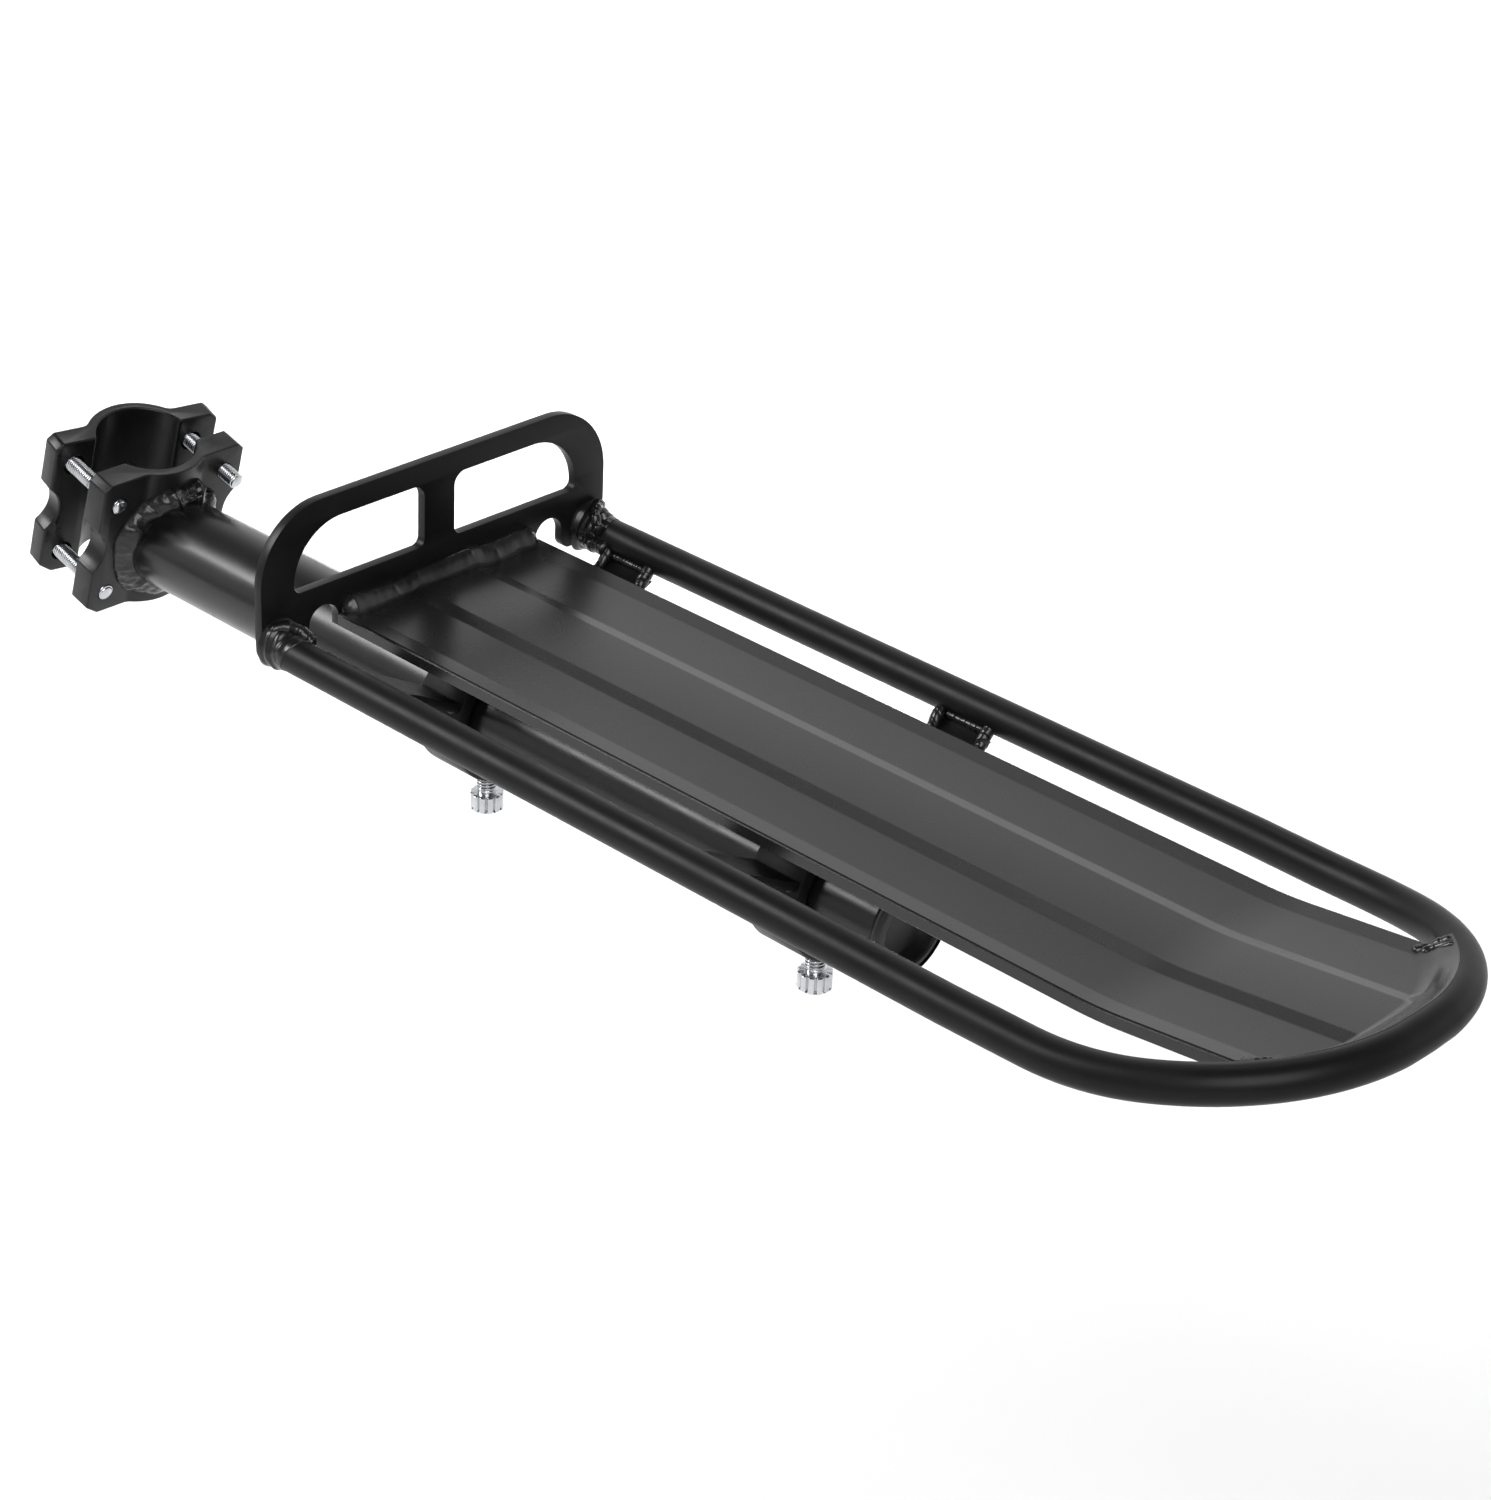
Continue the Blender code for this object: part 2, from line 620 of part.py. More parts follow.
for place, centre in zip(("front", "rear"), SLEEVE_X):
    under_head = Vector((centre, 0, LOCK_HEAD_Z))
    body = add_object(
        f"{place}_sleeve", *sleeve(centre), FINISH[f"{place}_sleeve"], parent=platform
    )
    up = Vector((0, 0, 1))
    forward = Vector((1, 0, 0))
    hole = loft([
        rod(Vector((centre, 0, z)), up, forward, LOCK_BOLT_R + GAP, 20)
        for z in (BEAM_BOTTOM - SLEEVE_CLEAR - SLEEVE_WALL - 2, BEAM_BOTTOM + 1)
    ])
    boolean(body, cutter(f"{place}_sleeve_hole", *hole), "DIFFERENCE")
    for side, side_name in ((-1, "left"), (1, "right")):
        name = f"{place}_ear_{side_name}"
        add_object(name, *ear(centre, side), FINISH[name], parent=platform)
    socket_bolt(
        f"{place}_lock_bolt", under_head, up, forward, LOCK_BOLT_R,
        BEAM_BOTTOM - GAP - LOCK_HEAD_Z, LOCK_HEAD_R, LOCK_HEAD_H, LOCK_SOCKET_R, platform,
    )
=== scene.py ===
"""Looks of a seatpost-mounted bicycle rear rack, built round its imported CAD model.

Lengths below are in millimetres unless a name says otherwise. The frame is the CAD's: +X rearwards along
the beam, +Y to the bicycle's right, +Z up, and the origin is on the seatpost axis.
"""

import json
import math

import bmesh
import bpy
from mathutils import Matrix, Vector, noise
from mathutils.geometry import tessellate_polygon


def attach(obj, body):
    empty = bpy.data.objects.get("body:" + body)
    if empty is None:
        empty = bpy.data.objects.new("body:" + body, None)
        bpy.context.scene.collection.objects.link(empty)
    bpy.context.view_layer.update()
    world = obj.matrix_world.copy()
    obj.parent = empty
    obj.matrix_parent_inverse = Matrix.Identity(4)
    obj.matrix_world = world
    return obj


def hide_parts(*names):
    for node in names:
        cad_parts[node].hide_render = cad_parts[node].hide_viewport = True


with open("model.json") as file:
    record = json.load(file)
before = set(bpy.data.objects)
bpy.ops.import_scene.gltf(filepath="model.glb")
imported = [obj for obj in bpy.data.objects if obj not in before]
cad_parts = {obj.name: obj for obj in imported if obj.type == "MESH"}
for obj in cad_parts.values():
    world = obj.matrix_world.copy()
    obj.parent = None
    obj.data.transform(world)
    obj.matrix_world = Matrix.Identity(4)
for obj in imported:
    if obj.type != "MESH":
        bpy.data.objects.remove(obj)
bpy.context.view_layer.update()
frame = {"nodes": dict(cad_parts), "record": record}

MM = 0.001
# Clearance between the CAD's neighbouring solids
GAP = 0.3

# Seatpost clamp: u sideways, v up the seatpost, w square to both, rearwards positive
TILT = math.radians(16.0)
POST_AXIS = Vector((math.sin(TILT), 0, math.cos(TILT)))
REARWARD = Vector((math.cos(TILT), 0, -math.sin(TILT)))
SIDEWAYS = Vector((0, 1, 0))
UP = Vector((0, 0, 1))
BORE_R, WRAP_R, CLAMP_FILLET = 15.1, 18.2, 4.0
CLAMP_V = (-15.5, 34.0)
REAR_HALF, REAR_LOBES = 26.2, (7.0, 14.9)
JAW_HALF, JAW_LOBES, JAW_SKEW = 27.8, (4.6, 11.4), 8.0
BOTTOM_CHAMFER, TOP_CHAMFER = (4.4, 3.3), (2.2, 2.0)
NOTCH_R, NOTCH_DEPTH = 9.7, 3.8
BOLT_U, BOLT_V = 19.9, (-7.9, 25.2)
HEAD_SEAT_W = {"left": -11.3, "right": -5.8}
POCKET_R = 5.0

# Screws: thread radius, pitch, head radius, head height, socket radius, teeth of the head, their depth
M5_SCREW = (2.5, 0.8, 4.25, 5.0, 2.3, 30, 0.26)
M6_SCREW = (3.0, 1.0, 4.8, 5.3, 2.9, 12, 0.85)
CLAMP_BOLT_LENGTH = 27.0

# Beam and platform
BEAM_R, BEAM_WALL, BEAM_AXIS_Z, BEAM_END = 14.7, 1.8, 2.4, 319.4
BRACKET_X, BRACKET_T = 141.5, 2.8
BRACKET_TOP, BRACKET_HALF, BRACKET_CORNER = 71.8, 63.6, 21.5
WINDOW_Y, WINDOW_Z, WINDOW_CORNER = (5.5, 52.3), (46.2, 65.1), 17.0
NOTCH_Y, NOTCH_TOP = 42.0, 40.0
RAIL_R, RAIL_Y, RAIL_Z = 5.0, 58.3, 33.0
RAIL_KINK_X, RAIL_KINK_ANGLE, RAIL_KINK_HALF = 417.6, 10.9, 15.9
HOOP_START, HOOP_REACH, HOOP_HALF, HOOP_POWER = -16.8, 69.7, 57.8, 2.2
DECK_HALF, DECK_T, FLANGE_Z = 37.2, 1.8, 32.0
DECK_LAND_Z, DECK_CENTRE_RISE, DECK_EDGE_RISE = 35.2, 0.9, 0.65
DECK_CENTRE, DECK_EDGE = (9.9, 14.1), (31.2, 36.7)
DECK_KINK_X, DECK_KINK_ANGLE, DECK_TO_HOOP = 407.0, 6.6, 3.0
SLEEVE_X, SLEEVE_LENGTH, SLEEVE_WALL, SLEEVE_CLEAR = (162.1, 289.6), 17.0, 4.7, 0.35
EAR_T = 2.6
LOCK_HEAD_Z, LOCK_HOLE_R = -25.1, 3.3
SIDES = ((-1, "left"), (1, "right"))

# Fillet welds: legs up the wall and along the floor, and half the front one's length
BEAM_WELD_LEGS, FRONT_WELD_LEGS = (4.9, 4.6), (5.0, 4.4)
FRONT_WELD_HALF = 36.0

FLOOR_Z, FLOOR_HALF = -330.0, 14000.0


# ---------------------------------------------------------------- materials

def node(tree, kind, inputs=None, **settings):
    made = tree.nodes.new("ShaderNode" + kind)
    for key, value in settings.items():
        setattr(made, key, value)
    for key, value in (inputs or {}).items():
        socket = made.inputs[key]
        if isinstance(value, bpy.types.NodeSocket):
            tree.links.new(value, socket)
        else:
            socket.default_value = value
    return made


def finish_of(name, base, spread, rough, rough_spread, metallic=0.0, specular=0.5, coat=0.0,
              peel=(900.0, 0.12, 0.00004), streak=None, cloud=45.0, specks=0.0):
    """A painted or bare metal: cloudy colour, uneven gloss and orange peel, with drawn streaks and pale
    specks if asked. peel is (scale, strength, distance in metres), streak is (stretch, tint, bump)."""
    made = bpy.data.materials.new(name)
    made.use_nodes = True
    tree = made.node_tree
    shader = tree.nodes["Principled BSDF"]
    shader.inputs["Metallic"].default_value = metallic
    shader.inputs["Specular IOR Level"].default_value = specular
    shader.inputs["Coat Weight"].default_value = coat
    shader.inputs["Coat Roughness"].default_value = 0.12
    place = node(tree, "TexCoord").outputs["Object"]

    def clouds(scale, detail=3.0, stretch=None):
        where = place
        if stretch:
            where = node(tree, "Mapping", {"Vector": place, "Scale": stretch}).outputs["Vector"]
        return node(
            tree, "TexNoise", {"Vector": where, "Scale": scale, "Detail": detail, "Roughness": 0.6}
        ).outputs["Fac"]

    def spread_out(value, low, high, first=0.32, last=0.68):
        return node(tree, "MapRange", {
            "Value": value, "From Min": first, "From Max": last, "To Min": low, "To Max": high,
        }).outputs["Result"]

    dark = [c * (1 - spread) for c in base] + [1]
    light = [c * (1 + spread) for c in base] + [1]
    colour = node(
        tree, "Mix", {"Factor": spread_out(clouds(cloud), 0.0, 1.0), 6: dark, 7: light}, data_type="RGBA"
    ).outputs[2]
    if streak:
        lines = clouds(1.0, 2.0, streak[0])
        colour = node(
            tree, "Mix",
            {
                "Factor": spread_out(lines, 0.0, streak[1], 0.45, 0.75),
                6: colour, 7: [c * 1.9 for c in base] + [1],
            },
            data_type="RGBA",
        ).outputs[2]
    if specks:
        dust = spread_out(clouds(2600.0, 1.0), 0.0, specks, 0.70, 0.80)
        colour = node(
            tree, "Mix", {"Factor": dust, 6: colour, 7: (0.16, 0.16, 0.16, 1)}, data_type="RGBA"
        ).outputs[2]
    tree.links.new(colour, shader.inputs["Base Color"])
    gloss = spread_out(clouds(cloud * 1.7, 5.0), rough - rough_spread, rough + rough_spread)
    tree.links.new(gloss, shader.inputs["Roughness"])
    skin = node(tree, "Bump", {"Height": clouds(peel[0], 2.0), "Strength": peel[1], "Distance": peel[2]})
    if streak:
        skin = node(tree, "Bump", {
            "Height": lines, "Strength": streak[2], "Distance": 0.00005, "Normal": skin.outputs["Normal"],
        })
    tree.links.new(skin.outputs["Normal"], shader.inputs["Normal"])
    return made


ALONG_X = (2.0, 330.0, 330.0)
FINISHES = {
    "clamp_metal": finish_of(
        "forged_black", (0.006, 0.006, 0.0064), 0.3, 0.33, 0.07, specular=0.35, peel=(520.0, 0.35, 0.00008),
        specks=0.12,
    ),
    "beam_metal": finish_of(
        "beam_black", (0.004, 0.004, 0.0043), 0.3, 0.25, 0.03, streak=(ALONG_X, 0.3, 0.02)
    ),
    "rail_metal": finish_of(
        "rail_black", (0.005, 0.005, 0.0053), 0.3, 0.40, 0.04, specular=0.19, specks=0.08
    ),
    "bracket_metal": finish_of(
        "bracket_black", (0.004, 0.004, 0.004), 0.3, 0.38, 0.05, specular=0.25, specks=0.10
    ),
    "deck_metal": finish_of(
        "deck_anodised", (0.010, 0.010, 0.0105), 0.12, 0.27, 0.012, peel=(260.0, 0.02, 0.00001),
        streak=(ALONG_X, 0.10, 0.002),
    ),
    "weld": finish_of(
        "weld_black", (0.006, 0.006, 0.006), 0.3, 0.25, 0.07, specular=0.45, coat=0.1,
        peel=(420.0, 0.30, 0.00012),
    ),
    "end_cap": finish_of(
        "cap_plastic", (0.014, 0.014, 0.014), 0.15, 0.42, 0.06, peel=(1300.0, 0.30, 0.00004)
    ),
    "zinc_steel": finish_of(
        "zinc_plate", (0.60, 0.61, 0.63), 0.15, 0.17, 0.05, metallic=1.0, peel=(700.0, 0.10, 0.00003),
        cloud=160.0,
    ),
}
for row in frame["record"]["subparts"]:
    cad = frame["nodes"][row["node"]]
    cad.data.materials.clear()
    cad.data.materials.append(FINISHES[row["material_slot"]])
BODY_OF = {n: body for body, names in frame["record"]["behaviour"]["bodies"].items() for n in names}
SLOT_OF = {row["node"]: row["material_slot"] for row in frame["record"]["subparts"]}


# ---------------------------------------------------------------- mesh helpers

def add_mesh(name, points, faces):
    mesh = bpy.data.meshes.new(name)
    mesh.from_pydata([p * MM for p in points], [], faces)
    shape = bmesh.new()
    shape.from_mesh(mesh)
    bmesh.ops.recalc_face_normals(shape, faces=shape.faces)
    if shape.calc_volume(signed=True) < 0:
        bmesh.ops.reverse_faces(shape, faces=shape.faces)
    shape.to_mesh(mesh)
    shape.free()
    made = bpy.data.objects.new(name, mesh)
    bpy.context.scene.collection.objects.link(made)
    return made


def applied(made):
    """The object with its modifiers made part of its mesh."""
    depsgraph = bpy.context.evaluated_depsgraph_get()
    mesh = bpy.data.meshes.new_from_object(made.evaluated_get(depsgraph))
    made.modifiers.clear()
    made.data = mesh
    return made


def cut(made, tools, operation="DIFFERENCE"):
    for tool in tools:
        change = made.modifiers.new("cut", "BOOLEAN")
        change.operation = operation
        change.solver = "EXACT"
        change.object = tool
    applied(made)
    for tool in tools:
        bpy.data.objects.remove(tool)
    return made


def soften(made, width, segments, angle=32.0):
    """Rounds the edges sharper than angle."""
    change = made.modifiers.new("soften", "BEVEL")
    change.width = width * MM
    change.segments = segments
    change.limit_method = "ANGLE"
    change.angle_limit = math.radians(angle)
    change.use_clamp_overlap = True
    return applied(made)


def dress(made, like, stands_for=(), angle=38.0, finish=None):
    """Finish, body and shading of a piece, taken from the CAD node it is like or stands for.
    that of the node's slot unless another is named."""
    made.data.materials.clear()
    made.data.materials.append(FINISHES[finish or SLOT_OF[like]])
    for face in made.data.polygons:
        face.use_smooth = True
        face.material_index = 0
    made.data.set_sharp_from_angle(angle=math.radians(angle))
    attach(made, BODY_OF[like])
    if stands_for:
        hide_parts(*stands_for)
    return made


def prism(loops, at, low, high):
    """A flat shape with holes, given height. loops[0] is the outside; at(a, b, h) places a point."""
    points, faces, starts = [], [], []
    for loop in loops:
        starts.append(len(points))
        points += [at(a, b, height) for height in (low, high) for a, b in loop]
    flat = [[Vector((a, b, 0)) for a, b in loop] for loop in loops]
    counted = [(i, k) for i, loop in enumerate(loops) for k in range(len(loop))]
    for triangle in tessellate_polygon(flat):
        chosen = [counted[k] for k in triangle]
        faces.append([starts[i] + k for i, k in chosen])
        faces.append([starts[i] + len(loops[i]) + k for i, k in reversed(chosen)])
    for start, loop in zip(starts, loops):
        n = len(loop)
        for k in range(n):
            j = (k + 1) % n
            faces.append([start + k, start + j, start + n + j, start + n + k])
    return points, faces


def loft(rings, closed=False):
    """A skin over rings of as many points each, capped unless the last ring joins the first."""
    n, count = len(rings[0]), len(rings)
    points = [p for ring in rings for p in ring]
    faces = []
    for r in range(count if closed else count - 1):
        s = (r + 1) % count
        for k in range(n):
            j = (k + 1) % n
            faces.append([r * n + k, r * n + j, s * n + j, s * n + k])
    if not closed:
        faces.append(list(range(n)))
        faces.append(list(range((count - 1) * n, count * n)))
    return points, faces


def arc(centre, radius, first, last, steps):
    """Points along an arc, from first to last degrees, with both ends."""
    turns = [math.radians(first + (last - first) * k / steps) for k in range(steps + 1)]
    return [(centre[0] + radius * math.cos(t), centre[1] + radius * math.sin(t)) for t in turns]


def circle(centre, radius, steps):
    return arc(centre, radius, 0, 360, steps)[:-1]


def ring_round(centre, along, across, radius, steps):
    other = along.cross(across)
    return [centre + across * a + other * b for a, b in circle((0, 0), radius, steps)]


def turned(stations, start, along, across, steps):
    """Rings round an axis from (place, radius) stations."""
    return [ring_round(start + along * place, along, across, radius, steps) for place, radius in stations]


def cylinder(start, along, across, low, high, radius, steps=48):
    return add_mesh("tool", *loft(turned([(low, radius), (high, radius)], start, along, across, steps)))


def direction_at(line, k):
    return (line[min(k + 1, len(line) - 1)] - line[max(k - 1, 0)]).normalized()


def sweep(line, radius, steps):
    """A round bar along a line."""
    rings = []
    for k, here in enumerate(line):
        ahead = direction_at(line, k)
        across = (UP - ahead * UP.dot(ahead)).normalized()
        rings.append(ring_round(here, ahead, across, radius, steps))
    return loft(rings)


def lumps(point, scale, amount, seed=0.0):
    return amount * noise.noise(point * scale + Vector((seed, seed * 0.7, -seed)))


def smooth_line(points, per_span):
    """A curve through the points, with the first and last kept."""
    out = []
    for k in range(len(points) - 1):
        p0, p1 = points[max(k - 1, 0)], points[k]
        p2, p3 = points[k + 1], points[min(k + 2, len(points) - 1)]
        for s in range(per_span):
            t = s / per_span
            out.append(
                0.5 * (2 * p1 + (p2 - p0) * t + (2 * p0 - 5 * p1 + 4 * p2 - p3) * t * t
                       + (3 * p1 - p0 - 3 * p2 + p3) * t * t * t)
            )
    return out + [points[-1]]


def weld_rings(line, out, radius, steps, ripple, seed, wander):
    """Rings of a weld bead along a line: overlapping crescents, with a wandering width and rounded ends.
    out is the direction away from the corner, ripple the length of a crescent."""
    rings, travelled = [], 0.0
    last = len(line) - 1
    for k, here in enumerate(line):
        ahead = direction_at(line, k)
        if k:
            travelled += (here - line[k - 1]).length
        wave = (travelled / ripple) % 1.0
        swell = 1 + 0.13 * (math.sqrt(wave) - 0.6) + lumps(here, 0.35, wander, seed)
        swell *= math.sqrt(min(1.0, 0.25 + min(k, last - k) / 4 * 0.75))
        other = ahead.cross(out).normalized()
        lean = ahead * (0.35 * radius)
        ring = []
        for a, b in circle((0, 0), 1.0, steps):
            reach = radius * swell * (1 + lumps(here + out * a + other * b, 0.9, 0.10, seed + 3))
            # The crown of each crescent trails its foot
            ring.append(here + (out * a + other * b) * reach - lean * max(a, 0.0) * 0.5)
        rings.append(ring)
    return rings


def fillet_ring(corner, wall, floor, roundness, skin):
    """A section of a fillet weld, closed inside what it joins. wall and floor run from the corner to the
    toes. skin(t, point) is how far the surface stands out, with t from 0 at the wall to 1 at the floor."""
    steps, sunk = 18, 0.4
    up, along = wall.normalized(), floor.normalized()
    ring = []
    for s in range(steps + 1):
        turn = math.pi / 2 * s / steps
        here = corner + wall * abs(math.cos(turn)) ** roundness + floor * math.sin(turn) ** roundness
        ring.append(here + (up + along).normalized() * (skin(s / steps, here) * math.sin(2 * turn)))
    return ring + [corner + floor - up * sunk, corner - (up + along) * sunk, corner + wall - along * sunk]


# ---------------------------------------------------------------- seatpost clamp

def clamp_point(u, v, w):
    return SIDEWAYS * u + POST_AXIS * v + REARWARD * w


def clamp_section(half_width, inner, outer):
    """A half's outline square to the seatpost: two lobes, from inner to outer, and the wrap between them."""
    rise = outer + CLAMP_FILLET
    reach = WRAP_R + CLAMP_FILLET
    fillet_u = math.sqrt(reach**2 - rise**2)
    lean = math.degrees(math.atan2(rise, fillet_u))
    half = [(half_width, inner), (half_width, outer)]
    half += arc((fillet_u, rise), CLAMP_FILLET, 270, 180 + lean, 10)
    wrap = arc((0, 0), WRAP_R, lean, 180 - lean, 40)[1:-1]
    left = [(-a, b) for a, b in reversed(half)]
    edge = math.degrees(math.asin(inner / BORE_R))
    return half + wrap + left + arc((0, 0), BORE_R, 180 - edge, edge, 56)


def clamp_outline(half_width):
    """A half seen from behind: chamfered corners and a round notch in each side."""
    bottom, top = CLAMP_V
    middle = (bottom + top) / 2
    centre = half_width - NOTCH_DEPTH + NOTCH_R
    swing = math.degrees(math.acos((centre - half_width) / NOTCH_R))
    cut_u, cut_v = BOTTOM_CHAMFER
    half = [(half_width - cut_u, bottom), (half_width, bottom + cut_v)]
    half += arc((centre, middle), NOTCH_R, 180 + swing, 180 - swing, 22)
    cut_u, cut_v = TOP_CHAMFER
    half += [(half_width, top - cut_v), (half_width - cut_u, top)]
    return half + [(-a, b) for a, b in reversed(half)]


def clamp_half(name, half_width, lobes, hole_r, skew=0.0, facing=1):
    """A forged half, its lobes from inner to outer. facing is -1 for the half in front of the seatpost."""
    turn = math.radians(skew)

    def at(u, w, v):
        w *= facing
        return clamp_point(
            u * math.cos(turn) - w * math.sin(turn), v, w * math.cos(turn) + u * math.sin(turn)
        )

    bottom, top = CLAMP_V
    section = clamp_section(half_width, *lobes)
    made = add_mesh(name + "_shell", *prism([section], at, bottom - 1, top + 1))
    outline = prism([clamp_outline(half_width)], lambda u, v, w: at(u, w, v), 1.0, 30.0)
    cut(made, [add_mesh("tool", *outline)], "INTERSECT")
    soften(made, 0.9, 4)
    tools = []
    for side, side_name in SIDES:
        stations = [(-30, hole_r), (30, hole_r)]
        if facing < 0:
            floor = HEAD_SEAT_W[side_name] + GAP
            stations = [(-30, POCKET_R), (floor, POCKET_R), (floor, hole_r), (30, hole_r)]
        for v in BOLT_V:
            rings = turned(stations, clamp_point(side * BOLT_U, v, 0), REARWARD, SIDEWAYS, 40)
            tools.append(add_mesh("tool", *loft(rings)))
    cut(made, tools)
    dress(made, name, [name], 30.0)


clamp_half("rear_clamp_half", REAR_HALF, REAR_LOBES, 2.8)
clamp_half("front_clamp_jaw", JAW_HALF, JAW_LOBES, 3.4, JAW_SKEW, -1)


def screw(name, seat, along, across, length, size):
    """A socket head screw with a cut thread. seat is the middle of the face under its head.
    Many teeth make a knurl between plain rims. Few make lobes, with narrow grooves the whole way."""
    shank_r, pitch, head_r, head_h, socket_r, teeth, tooth = size
    other = along.cross(across)

    def ring_at(place, count, radius_at):
        turns = [2 * math.pi * k / count for k in range(count)]
        return [
            seat + along * place + (across * math.cos(turn) + other * math.sin(turn)) * radius_at(turn)
            for turn in turns
        ]

    steps, per_pitch, start = 48, 8, 1.0
    rings = turned([(-0.3, shank_r * 0.9), (0.6, shank_r * 0.9)], seat, along, across, steps)
    count = int((length - 1.4) / pitch * per_pitch)
    for k in range(count + 1):
        place = start + k * pitch / per_pitch
        fade = min(1.0, k / per_pitch, (count - k) / per_pitch)

        def thread_radius(turn):
            phase = (place / pitch - turn / (2 * math.pi)) % 1.0
            groove = max(0.0, 1 - abs(phase - 0.5) / 0.36)
            return shank_r - pitch * 0.5 * groove * fade - (0.0 if fade else 0.35)

        rings.append(ring_at(place, steps, thread_radius))
    rings += turned([(length - 0.35, shank_r - 0.35), (length, shank_r - 0.75)], seat, along, across, steps)
    dress(add_mesh(name + "_thread", *loft(rings)), name, (), 60.0)

    lobed = teeth < 20
    fine, sharpness, rim = (teeth * 18, 5, tooth) if lobed else (teeth * 5, 2, 0)

    def ribbed(place, radius, depth):
        return ring_at(
            place, fine, lambda turn: radius - depth * (0.5 - 0.5 * math.cos(teeth * turn)) ** sharpness
        )

    def six_sided(place, radius):
        sixth = math.pi / 3
        return ring_at(
            place, fine,
            lambda turn: radius * math.cos(sixth / 2) / math.cos((turn + sixth / 2) % sixth - sixth / 2),
        )

    rings = [
        six_sided(-head_h * 0.45, socket_r * 0.55), six_sided(-head_h * 0.45, socket_r),
        six_sided(-head_h + 0.3, socket_r), six_sided(-head_h, socket_r + 0.3),
        ribbed(-head_h, head_r - 0.6, 0), ribbed(-head_h + 0.15, head_r - 0.28, 0),
        ribbed(-head_h + 0.5, head_r, 0), ribbed(-head_h + 0.7, head_r, tooth), ribbed(-0.9, head_r, tooth),
        ribbed(-0.7, head_r, rim), ribbed(-0.25, head_r, rim), ribbed(-0.05, head_r - 0.2, rim),
        ribbed(0, head_r - 0.45, 0), ribbed(0, shank_r * 0.8, 0),
    ]
    dress(add_mesh(name + "_head", *loft(rings)), name, [name], 35.0)


for side, side_name in SIDES:
    for level, v in zip(("lower", "upper"), BOLT_V):
        screw(
            f"clamp_bolt_{level}_{side_name}", clamp_point(side * BOLT_U, v, HEAD_SEAT_W[side_name]),
            REARWARD, SIDEWAYS, CLAMP_BOLT_LENGTH, M5_SCREW,
        )
for place, centre in zip(("front", "rear"), SLEEVE_X):
    screw(
        f"{place}_lock_bolt", Vector((centre, 0, LOCK_HEAD_Z)), UP, Vector((1, 0, 0)),
        BEAM_AXIS_Z - BEAM_R - GAP - LOCK_HEAD_Z, M6_SCREW,
    )


# ---------------------------------------------------------------- beam

def beam_circle(grow, steps=96):
    """(y, z) points round the beam's outside, grown by grow."""
    return circle((0, BEAM_AXIS_Z), BEAM_R + grow, steps)


def beam_start(y, z, clear):
    """x where the clamp's rear face ends, at y and z."""
    wrap = math.sqrt(max((WRAP_R + clear) ** 2 - y * y, 0))
    w = max(wrap, REAR_LOBES[1] + clear)
    return (w + z * math.sin(TILT)) / math.cos(TILT)


front_rings = [
    [Vector((beam_start(y, z, 0.05), y, z)) for y, z in beam_circle(grow)] for grow in (0, -BEAM_WALL)
]
rear_rings = [
    [Vector((x, y, z)) for y, z in beam_circle(grow)]
    for x, grow in ((BEAM_END - 0.3, 0), (BEAM_END, -0.3), (BEAM_END, -BEAM_WALL))
]
middle_rings = [
    [Vector((x, y, z)) for y, z in beam_circle(0)] for x in (60.0, 110.0, 160.0, 210.0, 260.0, 300.0)
]
beam = add_mesh(
    "beam", *loft([front_rings[0], *middle_rings, *rear_rings, front_rings[1]], closed=True)
)
dress(beam, "beam_tube", ["beam_tube"])

CAP_X = BEAM_END + 0.1
cap_line = [
    (CAP_X - 12.0, -BEAM_WALL - 0.9), (CAP_X - 11.0, -BEAM_WALL - 0.3), (CAP_X, -BEAM_WALL - 0.3),
    (CAP_X, -0.25), (CAP_X + 0.25, 0.0), (CAP_X + 1.2, 0.0),
]
cap_line += [(CAP_X + 1.2 + a, b - 1.2) for b, a in arc((0, 0), 1.2, 90, 0, 6)[1:]]
cap_line += [
    (CAP_X + 2.4, -3.0), (CAP_X + 2.2, -3.5), (CAP_X + 1.4, -3.9), (CAP_X - 2.6, -4.3), (CAP_X - 3.2, -5.0),
]
cap_rings = [[Vector((x, y, z)) for y, z in beam_circle(grow, 72)] for x, grow in cap_line]
cap = add_mesh("end_plug", *loft(cap_rings))
dress(cap, "beam_end_cap", ["beam_end_cap"], 45.0)


def beam_weld_ring(turn):
    """A section of the weld round the beam: fine ripples, with heaps of lumps on top and low on the left."""
    wall_leg, floor_leg = BEAM_WELD_LEGS
    out = Vector((0, math.cos(turn), math.sin(turn)))
    centre = Vector((0, 0, BEAM_AXIS_Z))
    away = math.degrees(turn)
    heap = math.exp(-((away - 72) / 34) ** 2) + 0.45 * math.exp(-((away - 238) / 22) ** 2)
    swell = 1 + lumps(out * BEAM_R, 0.16, 0.22, 1.0) + heap * lumps(out * BEAM_R, 0.30, 0.55, 4.0)
    corner = centre + out * BEAM_R
    corner.x = beam_start(corner.y, corner.z, 0)
    toe = centre + out * (BEAM_R + wall_leg * swell)
    toe.x = beam_start(toe.y, toe.z, 0)

    def skin(t, here):
        wave = (away / 7.6 + 0.5 * math.sin(math.pi * t)) % 1.0
        rough = lumps(here, 0.45, 0.25 + 1.2 * heap, 6.0) + lumps(here, 1.2, 0.08 + 0.3 * heap, 9.0)
        return 0.10 * (math.sqrt(wave) - 0.6) + rough

    return fillet_ring(corner, toe - corner, Vector((floor_leg * swell, 0, 0)), 1.3, skin)


